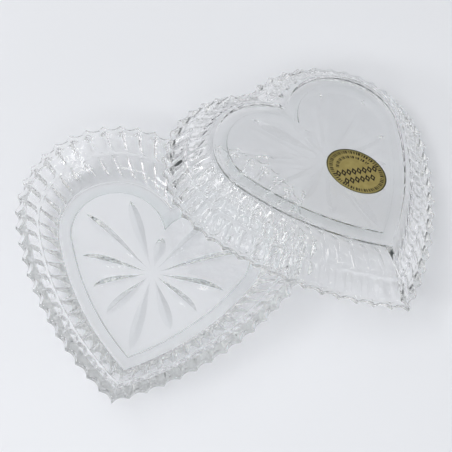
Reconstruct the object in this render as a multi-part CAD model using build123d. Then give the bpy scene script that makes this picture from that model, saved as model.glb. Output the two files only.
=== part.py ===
"""Heart-shaped pressed crystal box: an open base dish, a lid that leans on it, and a foil label.

Both halves are the same kind of dish. A flat heart panel with a star cut into it is framed by a
smooth band, then two tiers of upright flutes widen to a scalloped rim. The lid is that dish
turned over. Millimetres, +Z up. The origin is the centre of the star on the base's flat foot, and
the base's tip points towards -Y.
"""
import os
from math import acos, cos, degrees, radians, sin

from build123d import *

# Heart outline of the flat panel: two lobe arcs, each running tangent into a long side arc. X and Y
# are from the star's centre.
LOBE_X = 15.7
LOBE_Y = 12.0
LOBE_RADIUS = 16.5
SIDE_RADIUS = 99.0
SIDE_TURN = -23.1          # degrees, where a lobe arc hands over to its side arc

# Height of each half and how far each level stands out from the panel outline.
BASE_HEIGHT = 16.0
LID_HEIGHT = 17.5
BAND_OUT = 5.5
LOWER_TIER_OUT = 13.0
LEDGE_OUT = 15.0
UPPER_TIER_OUT = 19.3
RIM_OUT = 20.3
BAND_RISE = 1.3
LEDGE_LEVEL = 8.2
LEDGE_RISE = 0.5
RIM_DEPTH = 2.4            # height of the plain scalloped rim
RIM_BEVEL = 0.5

# Flutes: hollow scallops between sharp cusps, spaced evenly along each arc.
LOBE_FLUTES = 14           # on each lobe
SIDE_FLUTES = 12           # on each side
FLUTE_DEPTH = 1.1
SHALLOW_FLUTE = 0.35       # where the flutes run out at the band

# Hollow inside each half.
FLOOR_THICKNESS = 4.5
FLOOR_OUT = 6.5
MOUTH_OUT = 15.8
OVERSHOOT = 2.0
PANEL_REACH = 60.0         # further than the panel reaches from its star

# Star cut into the panel: twelve V grooves shaped like slim leaves.
STAR_RAYS = 12
RAY_INNER = 3.0
RAY_GAP = 3.0              # left plain between a groove's end and the panel outline
RAY_WIDEST = 0.66          # share of the groove's length at its widest point
RAY_HALF_WIDTH = 2.1
RAY_DEPTH = 0.9

# Foil label on the lid's flat top.
LABEL_LONG = 22.8
LABEL_WIDE = 18.0
LABEL_THICK = 0.15
LABEL_X = 6.8
LABEL_Y = -8.75
LABEL_TURN = 120.0

# Where the lid lies: turned on the spot, then leaned so that it rests on the base rim.
LID_TURN = 46.3
LEAN = 11.3
LEAN_HEADING = 51.3
LID_X = 48.64
LID_Y = 44.52
LID_Z = 10.4


def side_centre():
    """Centre of the right-hand side arc, left of the axis."""
    reach = SIDE_RADIUS - LOBE_RADIUS
    turn = radians(SIDE_TURN)
    return LOBE_X - reach * cos(turn), LOBE_Y - reach * sin(turn)


def right_half(out):
    """The outline's right half at an offset: its two arcs as (x, y, radius, start, end) in degrees."""
    lobe_radius = LOBE_RADIUS + out
    side_radius = SIDE_RADIUS + out
    side_x, side_y = side_centre()
    notch = 180 - degrees(acos(LOBE_X / lobe_radius))
    tip = -degrees(acos(-side_x / side_radius))
    lobe = (LOBE_X, LOBE_Y, lobe_radius, notch, SIDE_TURN)
    side = (side_x, side_y, side_radius, SIDE_TURN, tip)
    return lobe, side


def on_arc(arc, share, inwards=0.0):
    """The point a share of the way along an arc, moved towards the arc's centre."""
    x, y, radius, start, end = arc
    angle = radians(start + (end - start) * share)
    return x + (radius - inwards) * cos(angle), y + (radius - inwards) * sin(angle)


def mirrored(point):
    """The same point on the other side of the heart's axis."""
    return -point[0], point[1]


def smooth_heart(out, level):
    """A plain heart face made of four arcs."""
    arcs = [[on_arc(arc, share) for share in (0, 0.5, 1)] for arc in right_half(out)]
    edges = [ThreePointArc(*points) for points in arcs]
    edges += [ThreePointArc(*map(mirrored, reversed(points))) for points in reversed(arcs)]
    return Pos(0, 0, level) * make_face(Wire(edges))


def fluted_heart(out, level, depth):
    """A heart face whose edge is a row of hollow flutes between cusps."""
    flutes = []
    for arc, count in zip(right_half(out), (LOBE_FLUTES, SIDE_FLUTES)):
        for flute in range(count):
            start = on_arc(arc, flute / count)
            hollow = on_arc(arc, (flute + 0.5) / count, depth)
            end = on_arc(arc, (flute + 1) / count)
            flutes.append((start, hollow, end))
    edges = [ThreePointArc(*points) for points in flutes]
    edges += [ThreePointArc(*map(mirrored, reversed(points))) for points in reversed(flutes)]
    return Pos(0, 0, level) * make_face(Wire(edges))


def outer_body(height):
    """The solid outside of one half, foot down: band, two fluted tiers and the rim."""
    rim_level = height - RIM_DEPTH
    levels = [
        (BAND_OUT, BAND_RISE, SHALLOW_FLUTE),
        (LOWER_TIER_OUT, LEDGE_LEVEL, FLUTE_DEPTH),
        (LEDGE_OUT, LEDGE_LEVEL + LEDGE_RISE, FLUTE_DEPTH),
        (UPPER_TIER_OUT, rim_level, FLUTE_DEPTH),
        (RIM_OUT, rim_level + RIM_BEVEL, FLUTE_DEPTH),
        (RIM_OUT, height - RIM_BEVEL, FLUTE_DEPTH),
        (RIM_OUT - RIM_BEVEL, height, FLUTE_DEPTH),
    ]
    band = loft([smooth_heart(0, 0), smooth_heart(BAND_OUT, BAND_RISE)], ruled=True)
    tiers = loft([fluted_heart(*level) for level in levels], ruled=True)
    return band + tiers


def hollow(height):
    """The space inside one half, open at the rim."""
    slope = (MOUTH_OUT - FLOOR_OUT) / (height - FLOOR_THICKNESS)
    floor = smooth_heart(FLOOR_OUT, FLOOR_THICKNESS)
    mouth = smooth_heart(MOUTH_OUT + slope * OVERSHOOT, height + OVERSHOOT)
    return loft([floor, mouth], ruled=True)


def star_groove(angle, panel):
    """One V groove of the star: an upturned keel under a kite-shaped opening at z = 0."""
    outwards = Vector(cos(radians(angle)), sin(radians(angle)), 0)
    ray = Line(Vector(0, 0, 0), outwards * PANEL_REACH)
    length = (panel & ray).edge().length - RAY_GAP
    widest = RAY_INNER + (length - RAY_INNER) * RAY_WIDEST
    start = (RAY_INNER, 0, 0)
    end = (length, 0, 0)
    left = (widest, RAY_HALF_WIDTH, 0)
    right = (widest, -RAY_HALF_WIDTH, 0)
    keel = (widest, 0, RAY_DEPTH)
    sides = [(start, left, keel), (left, end, keel), (end, right, keel), (right, start, keel)]
    faces = [Face(Wire.make_polygon(side)) for side in sides]
    faces.append(Face(Wire.make_polygon([start, left, end, right])))
    return Rot(0, 0, angle) * Solid(Shell(faces))


def dish(height):
    """One half of the box, foot down, with the star cut into the underside of its panel."""
    body = outer_body(height) - hollow(height)
    panel = smooth_heart(0, 0)
    for ray in range(STAR_RAYS):
        body -= star_groove(-90 + ray * 360 / STAR_RAYS, panel)
    return body.solid()


def lid_place():
    """From the closed lid's own frame, rim at z = 0, to where it leans on the base."""
    leaned = Rot(0, 0, LEAN_HEADING) * Rot(0, LEAN, 0) * Rot(0, 0, -LEAN_HEADING)
    return Pos(LID_X, LID_Y, LID_Z) * leaned * Rot(0, 0, LID_TURN)


def lid():
    """The upper half: a deeper dish turned over about the axis from notch to tip."""
    return lid_place() * Pos(0, 0, LID_HEIGHT) * Rot(0, 180, 0) * dish(LID_HEIGHT)


def label():
    """The oval foil stuck on the lid's flat top."""
    oval = Rot(0, 0, LABEL_TURN) * Ellipse(LABEL_LONG / 2, LABEL_WIDE / 2)
    return lid_place() * Pos(LABEL_X, LABEL_Y, LID_HEIGHT) * extrude(oval, LABEL_THICK)


os.makedirs("parts", exist_ok=True)
pieces = {"base_dish": dish(BASE_HEIGHT), "lid": lid(), "label": label()}
for name, piece in pieces.items():
    export_step(piece, f"parts/{name}.step")
    box = piece.bounding_box()
    print(name, "volume", round(piece.volume), "low", tuple(box.min), "high", tuple(box.max))
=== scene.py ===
from math import acos, cos, hypot, pi, radians, sin, sqrt

import bpy
from mathutils import Matrix, Vector
from mathutils.geometry import delaunay_2d_cdt


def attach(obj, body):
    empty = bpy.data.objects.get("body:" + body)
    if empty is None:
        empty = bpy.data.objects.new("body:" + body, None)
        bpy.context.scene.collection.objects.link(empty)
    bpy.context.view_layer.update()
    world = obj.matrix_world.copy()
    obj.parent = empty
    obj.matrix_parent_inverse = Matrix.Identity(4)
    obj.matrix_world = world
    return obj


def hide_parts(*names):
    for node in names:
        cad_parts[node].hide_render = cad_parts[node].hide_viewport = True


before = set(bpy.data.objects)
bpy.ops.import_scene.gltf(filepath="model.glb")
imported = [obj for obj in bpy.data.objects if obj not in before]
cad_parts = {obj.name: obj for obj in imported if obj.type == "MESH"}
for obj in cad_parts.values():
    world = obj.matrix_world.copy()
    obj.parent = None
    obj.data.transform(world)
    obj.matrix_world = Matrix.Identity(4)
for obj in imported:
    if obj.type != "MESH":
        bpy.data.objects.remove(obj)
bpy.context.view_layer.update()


# ---------------------------------------------------------------------------------------------
# Base dish. Clear lead crystal pressed in one piece and fire-polished: a flat heart panel with
# twelve leaf-shaped grooves ground into its underside, a smooth band, and two tiers of hollow
# flutes that widen to a thick scalloped rim.
# ---------------------------------------------------------------------------------------------
MM = 0.001

# Heart outline of the panel: two lobe arcs, each tangent to a long side arc.
LOBE_X = 15.7
LOBE_Y = 12.0
LOBE_RADIUS = 16.5
SIDE_RADIUS = 99.0
SIDE_TURN = radians(-23.1)

# Flutes round each half of the heart, and where the columns of the mesh stand in each flute.
LOBE_FLUTES = 14
SIDE_FLUTES = 12
FLUTE_STEPS = (0.0, 0.02, 0.05, 0.09, 0.15, 0.23, 0.32, 0.41, 0.5,
               0.59, 0.68, 0.77, 0.85, 0.91, 0.95, 0.98)
CUSP_ROUNDING = 0.07

# Profile from the panel outline up the outside: (out, up, hollow, arch). Out is the distance from
# the panel outline, hollow the depth of the flutes, arch how far a flute's middle bulges outwards
# and up past its cusps.
BAND_AND_LOWER_TIER = (
    (0.20, 0.05, 0.0, 0.0),
    (0.34, 0.22, 0.0, 0.0),
    (0.45, 0.42, 0.0, 0.0),
    (0.80, 0.52, 0.0, 0.0),
    (2.60, 0.62, 0.0, 0.0),
    (4.30, 0.78, 0.0, 0.0),
    (4.55, 0.66, 0.0, 0.0),
    (4.90, 0.60, 0.0, 0.0),
    (5.20, 0.72, 0.0, 0.0),
    (5.36, 1.00, 0.0, 0.0),
    (5.60, 1.30, 0.0, 0.0),
    (6.10, 1.70, 0.10, 0.0),
    (7.25, 2.55, 0.75, 0.0),
    (8.60, 3.55, 1.40, 0.0),
    (9.95, 4.65, 1.85, 0.0),
    (11.20, 5.70, 2.00, 0.0),
    (12.10, 6.55, 1.85, 0.05),
    (12.55, 7.05, 1.50, 0.15),
    (12.78, 7.40, 1.05, 0.30),
    (12.88, 7.75, 0.65, 0.40),
    (12.98, 8.15, 0.50, 0.35),
    (13.20, 8.40, 0.50, 0.25),
    (13.60, 8.50, 0.60, 0.15),
    (14.30, 8.58, 0.80, 0.10),
    (14.80, 8.68, 1.00, 0.05),
    (15.05, 8.85, 1.20, 0.0),
)
UPPER_TIER = (
    (15.25, 0.06, 1.35, 0.0),
    (15.75, 0.16, 1.55, 0.0),
    (16.60, 0.35, 1.75, 0.0),
    (17.70, 0.61, 1.85, 0.0),
    (18.60, 0.82, 1.85, 0.0),
)

# Round the rim: the same, but with the depth below the rim's top in place of the height.
RIM = (
    (19.00, 2.72, 1.75, 0.10),
    (19.20, 2.52, 1.60, 0.20),
    (19.55, 2.42, 1.45, 0.25),
    (19.95, 2.36, 1.35, 0.20),
    (20.18, 2.26, 1.30, 0.10),
    (20.30, 2.02, 1.30, 0.0),
    (20.30, 0.50, 1.50, 0.0),
    (20.26, 0.26, 1.50, 0.0),
    (20.12, 0.09, 1.50, 0.0),
    (19.90, 0.02, 1.45, 0.0),
    (19.60, 0.00, 1.30, 0.0),
)
LEDGE_UP = 8.7

# The smooth inside, from the rim's inner edge down to the floor: (out, share of the depth).
INNER_WALL = (
    (18.60, 1.00),
    (17.40, 1.00),
    (16.50, 1.00),
    (16.15, 0.985),
    (15.92, 0.955),
    (15.70, 0.91),
    (14.60, 0.80),
    (12.80, 0.62),
    (11.00, 0.44),
    (9.40, 0.27),
    (8.20, 0.165),
    (7.20, 0.105),
    (6.20, 0.06),
    (5.20, 0.03),
    (4.00, 0.012),
    (2.60, 0.003),
    (1.20, 0.000),
)
FLOOR_THICKNESS = 4.5

# The star: rays that swell from a point near the middle to their full width and taper again.
STAR_RAYS = 12
RAY_INNER = 2.4
RAY_GAP = 2.6
RAY_HALF_WIDTH = 2.1
RAY_DEPTH = 0.95
RAY_STATIONS = 14
RAY_SWELL = 1.6
RAY_TAPER = 0.8

# Fire-polish ripple: faint up to the first height over the foot, full from the second one on.
RIPPLE_FROM = 4.6
RIPPLE_FULL = 7.5
RIPPLE_ON_PANEL = 0.25

BASE_HEIGHT = 16.0


def half_outline(out):
    """Centre, radius, start and end angle of the lobe arc and the side arc of the right half."""
    reach = SIDE_RADIUS - LOBE_RADIUS
    side_x = LOBE_X - reach * cos(SIDE_TURN)
    side_y = LOBE_Y - reach * sin(SIDE_TURN)
    notch = pi - acos(LOBE_X / (LOBE_RADIUS + out))
    tip = -acos(-side_x / (SIDE_RADIUS + out))
    return (
        (LOBE_X, LOBE_Y, LOBE_RADIUS + out, notch, SIDE_TURN),
        (side_x, side_y, SIDE_RADIUS + out, SIDE_TURN, tip),
    )


def flute_columns():
    """Every column round the right half: its arc, its share of the arc, its place in its flute."""
    columns = []
    for arc, count in enumerate((LOBE_FLUTES, SIDE_FLUTES)):
        for flute in range(count):
            columns += [(arc, (flute + step) / count, step) for step in FLUTE_STEPS]
    columns.append((1, 1.0, 0.0))
    return columns


def bowl_of_flute(step):
    """How hollow a flute is at a place across it: 1 in its middle, 0 at its rolled-over cusps."""
    from_cusp = 1 - abs(2 * step - 1)
    rolled = sqrt(from_cusp**2 + CUSP_ROUNDING**2) - CUSP_ROUNDING
    return rolled * (2 - rolled)


def heart_ring(out, level, hollow=0.0, arch=0.0):
    """One closed ring of points, from the notch down the right side to the tip and back up."""
    arcs = half_outline(out)
    half = []
    for arc, share, step in flute_columns():
        x, y, radius, start, end = arcs[arc]
        angle = start + (end - start) * share
        bowl = bowl_of_flute(step)
        reach = radius + (arch - hollow) * bowl
        half.append((x + reach * cos(angle), y + reach * sin(angle), level + arch * bowl))
    return half + [(-x, y, z) for x, y, z in reversed(half[1:-1])]


def panel_reach(angle):
    """Distance from the star's centre to the panel outline along a direction."""
    ring = heart_ring(0, 0)
    along = Vector((cos(angle), sin(angle)))
    best = 0.0
    for start, end in zip(ring, ring[1:] + ring[:1]):
        a, b = Vector(start[:2]), Vector(end[:2])
        side_a, side_b = along.cross(a), along.cross(b)
        if side_a * side_b <= 0 and side_a != side_b:
            crossing = a.lerp(b, side_a / (side_a - side_b))
            best = max(best, crossing.dot(along))
    return best


def filled(points, edges, count, out):
    """Corners and triangles that fill a ring, leaving its notch open, and each corner's number."""
    fill = delaunay_2d_cdt(points, edges, [list(range(count))], 1, 1e-5, True)
    corners, faces, origins = fill[0], fill[2], fill[3]
    kept = []
    for face in faces:
        x, y = sum((corners[corner] for corner in face), Vector((0, 0))) / 3
        in_lobe = hypot(abs(x) - LOBE_X, y - LOBE_Y) < LOBE_RADIUS + out
        if y < LOBE_Y or in_lobe:
            kept.append(face)
    return corners, kept, [origin[0] if origin else None for origin in origins]


def star_panel(ring):
    """Triangles that fill a ring at level 0, with the star's V grooves let into them."""
    points = [Vector(point[:2]) for point in ring]
    levels = [point[2] for point in ring]
    edges = []
    widest = RAY_SWELL / (RAY_SWELL + RAY_TAPER)
    peak = widest**RAY_SWELL * (1 - widest) ** RAY_TAPER
    for ray in range(STAR_RAYS):
        angle = -pi / 2 + ray * 2 * pi / STAR_RAYS
        along = Vector((cos(angle), sin(angle)))
        across = Vector((-along.y, along.x))
        length = panel_reach(angle) - RAY_GAP
        lines = [[], [], []]
        for station in range(RAY_STATIONS + 1):
            share = station / RAY_STATIONS
            fullness = share**RAY_SWELL * (1 - share) ** RAY_TAPER / peak
            here = along * (RAY_INNER + (length - RAY_INNER) * share)
            width = RAY_HALF_WIDTH * fullness
            for line, side in zip(lines, (-1, 0, 1)):
                if fullness == 0 and side:
                    line.append(None)
                    continue
                line.append(len(points))
                points.append(here + across * width * side)
                levels.append(0 if side or fullness == 0 else RAY_DEPTH * fullness)
        keel = lines[1]
        for line in lines:
            line = [keel[i] if point is None else point for i, point in enumerate(line)]
            edges += list(zip(line, line[1:]))
    corners, faces, numbers = filled(points, edges, len(ring), 0)
    heights = [0.0 if number is None else levels[number] for number in numbers]
    return [(p.x, p.y, z) for p, z in zip(corners, heights)], faces, numbers


def corners_cut(rows):
    """A profile with its corners rounded: each stretch gives two rows, a quarter in from its ends."""
    cut = [rows[0]]
    for row, following in zip(rows, rows[1:]):
        for share in (0.25, 0.75):
            cut.append(tuple(a + (b - a) * share for a, b in zip(row, following)))
    return cut + [rows[-1]]


def pressed_dish(height):
    """Points, faces and first flat face of one half in millimetres: foot down, rim at its height."""
    rise = height - LEDGE_UP - RIM[0][1]
    depth = height - FLOOR_THICKNESS
    rows = [(0, 0, 0, 0)]
    rows += BAND_AND_LOWER_TIER
    rows += [(out, LEDGE_UP + rise * share, hollow, arch) for out, share, hollow, arch in UPPER_TIER]
    rows += [(out, height - down, hollow, arch) for out, down, hollow, arch in RIM]
    rows += [(out, FLOOR_THICKNESS + depth * share, 0, 0) for out, share in INNER_WALL]
    rings = [heart_ring(*row) for row in corners_cut(rows)]
    count = len(rings[0])
    points = [point for ring in rings for point in ring]
    faces = []
    for lower in range(len(rings) - 1):
        for column in range(count):
            near, far = lower * count, (lower + 1) * count
            beside = (column + 1) % count
            faces.append((near + column, near + beside, far + beside, far + column))
    first_flat = len(faces)
    panel, panel_faces, numbers = star_panel(rings[0])
    places = {}
    for index, (point, number) in enumerate(zip(panel, numbers)):
        if number is not None and number < count:
            places[index] = number
        else:
            places[index] = len(points)
            points.append(point)
    faces += [tuple(places[corner] for corner in face) for face in panel_faces]
    last = (len(rings) - 1) * count
    floor_outline = [Vector(point[:2]) for point in rings[-1]]
    _, floor_faces, numbers = filled(floor_outline, [], count, rows[-1][0])
    faces += [tuple(last + numbers[corner] for corner in face) for face in floor_faces]
    return points, faces, first_flat


def mesh_piece(name, points, faces, first_flat, place, material):
    """A piece from points and a place in millimetres: outward faces, smooth up to one face."""
    mesh = bpy.data.meshes.new(name)
    mesh.from_pydata([place @ Vector(point) * MM for point in points], [], faces)
    piece = bpy.data.objects.new(name, mesh)
    bpy.context.collection.objects.link(piece)
    bpy.context.view_layer.objects.active = piece
    bpy.ops.object.select_all(action="DESELECT")
    piece.select_set(True)
    bpy.ops.object.mode_set(mode="EDIT")
    bpy.ops.mesh.select_all(action="SELECT")
    bpy.ops.mesh.normals_make_consistent(inside=False)
    bpy.ops.object.mode_set(mode="OBJECT")
    for face in mesh.polygons:
        face.use_smooth = face.index < first_flat
    mesh.materials.append(material)
    return piece


def own_place(tree, place):
    """A texture position measured in the piece's own frame, however the piece lies."""
    position = tree.nodes.new("ShaderNodeTexCoord")
    undo = tree.nodes.new("ShaderNodeMapping")
    undo.vector_type = "TEXTURE"
    undo.inputs["Location"].default_value = place.translation * MM
    undo.inputs["Rotation"].default_value = place.to_euler()
    tree.links.new(position.outputs["Object"], undo.inputs["Vector"])
    return undo.outputs["Vector"]


def ripple_group():
    """Node group: the ripple that fire polish leaves on the glass, stronger on the fluted wall."""
    group = bpy.data.node_groups.new("fire_polish_ripple", "ShaderNodeTree")
    group.interface.new_socket("Place", in_out="INPUT", socket_type="NodeSocketVector")
    group.interface.new_socket("Ripple Scale", in_out="INPUT", socket_type="NodeSocketFloat")
    group.interface.new_socket("Height", in_out="OUTPUT", socket_type="NodeSocketFloat")
    start = group.nodes.new("NodeGroupInput")
    end = group.nodes.new("NodeGroupOutput")
    noise = group.nodes.new("ShaderNodeTexNoise")
    noise.inputs["Detail"].default_value = 2.0
    noise.inputs["Roughness"].default_value = 0.4
    above_foot = group.nodes.new("ShaderNodeSeparateXYZ")
    on_wall = group.nodes.new("ShaderNodeMapRange")
    on_wall.inputs["From Min"].default_value = RIPPLE_FROM * MM
    on_wall.inputs["From Max"].default_value = RIPPLE_FULL * MM
    on_wall.inputs["To Min"].default_value = RIPPLE_ON_PANEL
    shaped = group.nodes.new("ShaderNodeMath")
    shaped.operation = "MULTIPLY"
    group.links.new(start.outputs["Place"], noise.inputs["Vector"])
    group.links.new(start.outputs["Place"], above_foot.inputs[0])
    group.links.new(above_foot.outputs["Z"], on_wall.inputs["Value"])
    group.links.new(start.outputs["Ripple Scale"], noise.inputs["Scale"])
    group.links.new(noise.outputs["Fac"], shaped.inputs[0])
    group.links.new(on_wall.outputs["Result"], shaped.inputs[1])
    group.links.new(shaped.outputs["Value"], end.inputs["Height"])
    return group


def crystal_glass(name, ripple_scale, place):
    """Clear lead crystal with a fire-polish ripple, faintly green where light goes far through it."""
    material = bpy.data.materials.new(name)
    material.use_nodes = True
    tree = material.node_tree
    glass = tree.nodes["Principled BSDF"]
    glass.inputs["Base Color"].default_value = (1.0, 1.0, 1.0, 1)
    glass.inputs["Metallic"].default_value = 0.0
    glass.inputs["Roughness"].default_value = 0.012
    glass.inputs["IOR"].default_value = 1.54
    glass.inputs["Transmission Weight"].default_value = 1.0
    ripple = tree.nodes.new("ShaderNodeGroup")
    ripple.node_tree = RIPPLE
    ripple.inputs["Ripple Scale"].default_value = ripple_scale
    tree.links.new(own_place(tree, place), ripple.inputs["Place"])
    bump = tree.nodes.new("ShaderNodeBump")
    bump.inputs["Strength"].default_value = 0.4
    bump.inputs["Distance"].default_value = 0.0006
    tree.links.new(ripple.outputs["Height"], bump.inputs["Height"])
    tree.links.new(bump.outputs["Normal"], glass.inputs["Normal"])
    depth_tint = tree.nodes.new("ShaderNodeVolumeAbsorption")
    depth_tint.inputs["Color"].default_value = (0.55, 0.66, 0.64, 1)
    depth_tint.inputs["Density"].default_value = 1.6
    tree.links.new(depth_tint.outputs["Volume"], tree.nodes["Material Output"].inputs["Volume"])
    return material


RIPPLE = ripple_group()
base_place = Matrix.Identity(4)
base_crystal = crystal_glass("base_crystal", 350, base_place)
base_glass = mesh_piece("base_glass", *pressed_dish(BASE_HEIGHT), base_place, base_crystal)
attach(base_glass, "base")
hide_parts("base_dish")


# ---------------------------------------------------------------------------------------------
# Lid. The same pressing, a little deeper, turned over so that its star panel is on top. It is
# loose: here it lies turned and leaning, one lobe on the table and its rim on the base's rim.
# ---------------------------------------------------------------------------------------------
LID_HEIGHT = 17.5
LID_TURN = radians(46.3)
LEAN = radians(11.3)
LEAN_HEADING = radians(51.3)
LID_PLACE = Vector((48.64, 44.52, 10.4))


def lid_frame():
    """From the closed lid's own frame, rim at level 0, to where it leans, in millimetres."""
    heading = Matrix.Rotation(LEAN_HEADING, 4, "Z")
    leaned = heading @ Matrix.Rotation(LEAN, 4, "Y") @ heading.inverted()
    return Matrix.Translation(LID_PLACE) @ leaned @ Matrix.Rotation(LID_TURN, 4, "Z")


turned_over = Matrix.Translation((0, 0, LID_HEIGHT)) @ Matrix.Rotation(pi, 4, "Y")
lid_place = lid_frame() @ turned_over
lid_crystal = crystal_glass("lid_crystal", 180, lid_place)
lid_glass = mesh_piece("lid_glass", *pressed_dish(LID_HEIGHT), lid_place, lid_crystal)
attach(lid_glass, "lid")
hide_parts("lid")


# ---------------------------------------------------------------------------------------------
# Label. A thin oval of gold foil stuck on the lid's flat top and pressed down at its edge, printed
# in near-black with a border, rings of small marks and two rows of lozenges.
# ---------------------------------------------------------------------------------------------
LABEL_LONG = 22.8
LABEL_WIDE = 18.0
LABEL_THICK = 0.15
LABEL_X = 6.8
LABEL_Y = -8.75
LABEL_TURN = radians(120.0)
LABEL_RINGS = 12
LABEL_SIDES = 96
PRINT_TURN = radians(44)
LOZENGE_PITCH = 2.0
LOZENGE_HALF_HEIGHT = 1.6


def label_mesh():
    """Points and faces of the foil oval, lying on level 0, its edge rolled down onto the glass."""
    points, faces = [(0, 0, LABEL_THICK)], []
    shares = [(ring + 1) / LABEL_RINGS for ring in range(LABEL_RINGS)]
    levels = [(share, LABEL_THICK * (1 - 0.35 * share**8)) for share in shares] + [(1.0, 0.0)]
    for share, level in levels:
        for side in range(LABEL_SIDES):
            angle = 2 * pi * side / LABEL_SIDES
            x, y = LABEL_LONG / 2 * share * cos(angle), LABEL_WIDE / 2 * share * sin(angle)
            points.append((x, y, level))
    for side in range(LABEL_SIDES):
        beside = (side + 1) % LABEL_SIDES
        faces.append((0, 1 + side, 1 + beside))
        for ring in range(LABEL_RINGS):
            near, far = 1 + ring * LABEL_SIDES, 1 + (ring + 1) * LABEL_SIDES
            faces.append((near + side, far + side, far + beside, near + beside))
    last = 1 + LABEL_RINGS * LABEL_SIDES
    faces.append(tuple(last + side for side in reversed(range(LABEL_SIDES))))
    return points, faces


def calc(tree, operation, *values):
    """The output of a maths node, from numbers and other nodes' outputs."""
    node = tree.nodes.new("ShaderNodeMath")
    node.operation = operation
    for socket, value in zip(node.inputs, values):
        if isinstance(value, (int, float)):
            socket.default_value = value
        else:
            tree.links.new(value, socket)
    return node.outputs["Value"]


def between(tree, value, low, high):
    """1 where a value lies between two bounds, 0 elsewhere."""
    above = calc(tree, "GREATER_THAN", value, low)
    return calc(tree, "MULTIPLY", above, calc(tree, "LESS_THAN", value, high))


def ring_of_marks(tree, outwards, around, low, high, count):
    """Small upright marks in a ring, unevenly wide, so that they read as fine print from afar."""
    turn = calc(tree, "MULTIPLY", around, count / (2 * pi))
    wave = calc(tree, "SINE", calc(tree, "MULTIPLY", around, 23.0))
    uneven = calc(tree, "MULTIPLY_ADD", wave, 0.18, 0.5)
    mark = calc(tree, "LESS_THAN", calc(tree, "FRACT", turn), uneven)
    return calc(tree, "MULTIPLY", mark, between(tree, outwards, low, high))


def row_of_lozenges(tree, along, up, middle, half_length):
    """Open lozenges side by side, in place of a bold printed line."""
    cell = calc(tree, "FRACT", calc(tree, "DIVIDE", along, LOZENGE_PITCH * MM))
    sideways = calc(tree, "MULTIPLY", calc(tree, "ABSOLUTE", calc(tree, "SUBTRACT", cell, 0.5)), 2.0)
    upwards = calc(tree, "ABSOLUTE", calc(tree, "SUBTRACT", up, middle * MM))
    spread = calc(tree, "MULTIPLY_ADD", upwards, 1 / (LOZENGE_HALF_HEIGHT * MM), sideways)
    outline = between(tree, spread, 0.40, 1.0)
    inside = calc(tree, "LESS_THAN", calc(tree, "ABSOLUTE", along), half_length * MM)
    return calc(tree, "MULTIPLY", outline, inside)


def print_group():
    """Node group: where the label's ink lies, and how near the rim a place is (1 at the rim)."""
    group = bpy.data.node_groups.new("label_print", "ShaderNodeTree")
    group.interface.new_socket("Place", in_out="INPUT", socket_type="NodeSocketVector")
    group.interface.new_socket("Ink", in_out="OUTPUT", socket_type="NodeSocketFloat")
    group.interface.new_socket("Outwards", in_out="OUTPUT", socket_type="NodeSocketFloat")
    start = group.nodes.new("NodeGroupInput")
    end = group.nodes.new("NodeGroupOutput")
    split = group.nodes.new("ShaderNodeSeparateXYZ")
    group.links.new(start.outputs["Place"], split.inputs[0])
    x, y = split.outputs["X"], split.outputs["Y"]
    across = calc(group, "DIVIDE", x, LABEL_LONG / 2 * MM)
    up = calc(group, "DIVIDE", y, LABEL_WIDE / 2 * MM)
    across_squared = calc(group, "MULTIPLY", across, across)
    outwards = calc(group, "SQRT", calc(group, "MULTIPLY_ADD", up, up, across_squared))
    around = calc(group, "ARCTAN2", up, across)
    line_x = calc(group, "MULTIPLY_ADD", y, sin(PRINT_TURN), calc(group, "MULTIPLY", x, cos(PRINT_TURN)))
    line_y = calc(group, "MULTIPLY_ADD", y, cos(PRINT_TURN), calc(group, "MULTIPLY", x, -sin(PRINT_TURN)))
    inks = [
        between(group, outwards, 0.965, 0.99),
        ring_of_marks(group, outwards, around, 0.79, 0.91, 60),
        row_of_lozenges(group, line_x, line_y, 0.0, 4 * LOZENGE_PITCH),
        row_of_lozenges(group, line_x, line_y, 3.6, 3 * LOZENGE_PITCH),
    ]
    small_ring = ring_of_marks(group, outwards, around, 0.58, 0.69, 46)
    lower_half = calc(group, "LESS_THAN", line_y, -2.4 * MM)
    ink = calc(group, "MULTIPLY", small_ring, lower_half)
    for part in inks:
        ink = calc(group, "MAXIMUM", ink, part)
    group.links.new(ink, end.inputs["Ink"])
    group.links.new(outwards, end.inputs["Outwards"])
    return group


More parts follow.
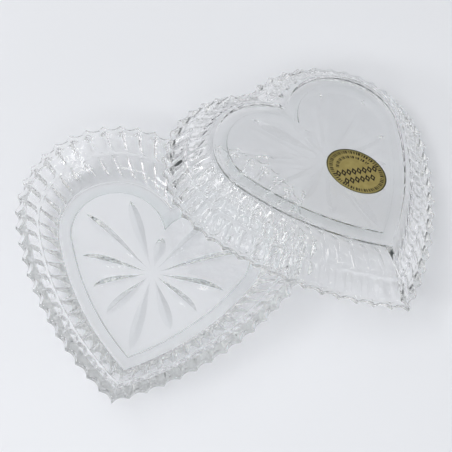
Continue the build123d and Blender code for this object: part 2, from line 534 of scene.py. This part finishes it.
def foil_material(label_place):
    """Satin gold foil, finely creased, with near-black ink printed on it and painted shade darkening it
    towards its edge.
    """
    material = bpy.data.materials.new("gold_foil")
    material.use_nodes = True
    tree = material.node_tree
    foil = tree.nodes["Principled BSDF"]
    foil.inputs["Specular IOR Level"].default_value = 0.25
    place = own_place(tree, label_place)
    print_work = tree.nodes.new("ShaderNodeGroup")
    print_work.node_tree = print_group()
    tree.links.new(place, print_work.inputs["Place"])
    creases = tree.nodes.new("ShaderNodeTexNoise")
    creases.inputs["Scale"].default_value = 420
    creases.inputs["Detail"].default_value = 5.0
    tree.links.new(place, creases.inputs["Vector"])
    gold = tree.nodes.new("ShaderNodeValToRGB")
    gold.color_ramp.elements[0].position = 0.3
    gold.color_ramp.elements[0].color = (0.40, 0.32, 0.115, 1)
    gold.color_ramp.elements[1].position = 0.7
    gold.color_ramp.elements[1].color = (0.50, 0.41, 0.155, 1)
    tree.links.new(creases.outputs["Fac"], gold.inputs["Fac"])
    # Painted shade: the foil's colour darkens towards its edge, where the foil turns down onto the glass.
    rim = tree.nodes.new("ShaderNodeMix")
    rim.data_type = "RGBA"
    rim.inputs["B"].default_value = (0.20, 0.19, 0.07, 1)
    tree.links.new(calc(tree, "POWER", print_work.outputs["Outwards"], 14.0), rim.inputs["Factor"])
    tree.links.new(gold.outputs["Color"], rim.inputs["A"])
    inked = tree.nodes.new("ShaderNodeMix")
    inked.data_type = "RGBA"
    inked.inputs["B"].default_value = (0.012, 0.008, 0.006, 1)
    tree.links.new(print_work.outputs["Ink"], inked.inputs["Factor"])
    tree.links.new(rim.outputs["Result"], inked.inputs["A"])
    tree.links.new(inked.outputs["Result"], foil.inputs["Base Color"])
    metal = calc(tree, "MULTIPLY_ADD", print_work.outputs["Ink"], -0.75, 0.75)
    tree.links.new(metal, foil.inputs["Metallic"])
    rough = calc(tree, "MULTIPLY_ADD", creases.outputs["Fac"], 0.16, 0.32)
    tree.links.new(rough, foil.inputs["Roughness"])
    bump = tree.nodes.new("ShaderNodeBump")
    bump.inputs["Strength"].default_value = 0.4
    bump.inputs["Distance"].default_value = 0.00005
    tree.links.new(creases.outputs["Fac"], bump.inputs["Height"])
    tree.links.new(bump.outputs["Normal"], foil.inputs["Normal"])
    return material


points, faces = label_mesh()
on_lid = Matrix.Translation((LABEL_X, LABEL_Y, LID_HEIGHT)) @ Matrix.Rotation(LABEL_TURN, 4, "Z")
label_place = lid_frame() @ on_lid
foil_label = mesh_piece("foil_label", points, faces, len(faces), label_place, foil_material(label_place))
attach(foil_label, "lid")
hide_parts("label")


# ---------------------------------------------------------------------------------------------
# Table. A plain pale sheet of studio paper under the box, much wider than the view. It lies a hair
# below the base's foot, so that the two faces never coincide.
# ---------------------------------------------------------------------------------------------
TABLE_HALF = 3000.0
TABLE_BELOW = 0.02

table_corners = ((-1, -1), (1, -1), (1, 1), (-1, 1))
table_points = [(x * TABLE_HALF, y * TABLE_HALF, -TABLE_BELOW) for x, y in table_corners]
paper = bpy.data.materials.new("studio_paper")
paper.use_nodes = True
paper_shader = paper.node_tree.nodes["Principled BSDF"]
paper_shader.inputs["Base Color"].default_value = (0.81, 0.82, 0.85, 1)
paper_shader.inputs["Roughness"].default_value = 0.9
table = mesh_piece("table", table_points, [(0, 1, 2, 3)], 0, Matrix.Identity(4), paper)


# ---------------------------------------------------------------------------------------------
# Light. Narrow softboxes at the left and front put bright streaks on the flutes. The pale room
# darkens unevenly towards the horizon, so that the glass has something to refract.
# ---------------------------------------------------------------------------------------------
def softbox(name, place, width, height, power):
    """An oblong area light that faces the box, level along its width."""
    light = bpy.data.lights.new(name, "AREA")
    light.shape = "RECTANGLE"
    light.size = width
    light.size_y = height
    light.energy = power
    lamp = bpy.data.objects.new(name, light)
    lamp.location = place
    lamp.rotation_euler = (LAMP_AIM - Vector(place)).to_track_quat("-Z", "Y").to_euler()
    bpy.context.collection.objects.link(lamp)


LAMP_AIM = Vector((0.03, 0.03, 0.01))
ROOM_PATCH_SCALE = 3.5
ROOM_PATCHINESS = 0.9
FRONT_GLOW = 0.22
ROOM_STRENGTH = 0.575

softbox("left_window", (-0.60, 0.05, 0.80), 0.6, 0.05, 0.7)
softbox("front_softbox", (-0.05, -0.66, 0.60), 0.5, 0.10, 0.8)
softbox("left_front_softbox", (-0.41, -0.29, 0.75), 0.35, 0.04, 0.6)
softbox("left_front_low_softbox", (-0.53, -0.53, 0.50), 0.25, 0.14, 1.2)
softbox("right_tube", (0.75, -0.25, 0.30), 0.5, 0.03, 0.4)
softbox("left_tube", (-0.80, 0.05, 0.25), 0.5, 0.03, 0.3)

world = bpy.data.worlds.new("studio")
bpy.context.scene.world = world
world.use_nodes = True
room = world.node_tree
direction = room.nodes.new("ShaderNodeTexCoord")
upwards = room.nodes.new("ShaderNodeSeparateXYZ")
patches = room.nodes.new("ShaderNodeTexNoise")
patches.inputs["Scale"].default_value = ROOM_PATCH_SCALE
patches.inputs["Detail"].default_value = 1.0
tones = room.nodes.new("ShaderNodeValToRGB")
shades = tones.color_ramp.elements
shades[0].position = 0.55
shades[0].color = (0.02, 0.03, 0.035, 1)
shades[1].position = 1.0
shades[1].color = (1.45, 1.46, 1.47, 1)
shades.new(0.68).color = (0.10, 0.115, 0.12, 1)
shades.new(0.80).color = (0.86, 0.88, 0.90, 1)
room.links.new(direction.outputs["Generated"], upwards.inputs[0])
room.links.new(direction.outputs["Generated"], patches.inputs["Vector"])
height_and_front = calc(room, "MULTIPLY_ADD", upwards.outputs["Y"], -FRONT_GLOW, upwards.outputs["Z"])
brightness = calc(room, "MULTIPLY_ADD", patches.outputs["Fac"], ROOM_PATCHINESS, height_and_front)
room.links.new(brightness, tones.inputs["Fac"])
room.links.new(tones.outputs["Color"], room.nodes["Background"].inputs["Color"])
room.nodes["Background"].inputs["Strength"].default_value = ROOM_STRENGTH


# ---------------------------------------------------------------------------------------------
# Camera. A long lens, high over the base's tip and turned a little in its mount. Light goes back
# and forth in the glass many times, so the renderer is told to follow it that far.
# ---------------------------------------------------------------------------------------------
CAMERA_TURN = radians(5.87)
CAMERA_HEIGHT = radians(60.64)
CAMERA_AWAY = 0.8116
CAMERA_ROLL = radians(8.63)
CAMERA_AIM = Vector((0.0207, 0.0266, 0))
CAMERA_LENS = 178.9

level = cos(CAMERA_HEIGHT)
outwards = Vector((sin(CAMERA_TURN) * level, -cos(CAMERA_TURN) * level, sin(CAMERA_HEIGHT)))
camera = bpy.data.objects.new("camera", bpy.data.cameras.new("camera"))
camera.data.lens = CAMERA_LENS
camera.data.sensor_width = 36
camera.data.clip_start = 0.01
camera.location = CAMERA_AIM + outwards * CAMERA_AWAY
facing = outwards.to_track_quat("Z", "Y").to_matrix().to_4x4()
camera.matrix_world = Matrix.Translation(camera.location) @ facing @ Matrix.Rotation(CAMERA_ROLL, 4, "Z")
bpy.context.collection.objects.link(camera)
bpy.context.scene.camera = camera
bpy.context.scene.view_settings.view_transform = "Standard"
cycles = bpy.context.scene.cycles
cycles.max_bounces = 64
cycles.transmission_bounces = 64
cycles.glossy_bounces = 16
cycles.use_denoising = True
cycles.blur_glossy = 0.0
cycles.sample_clamp_indirect = 4.0
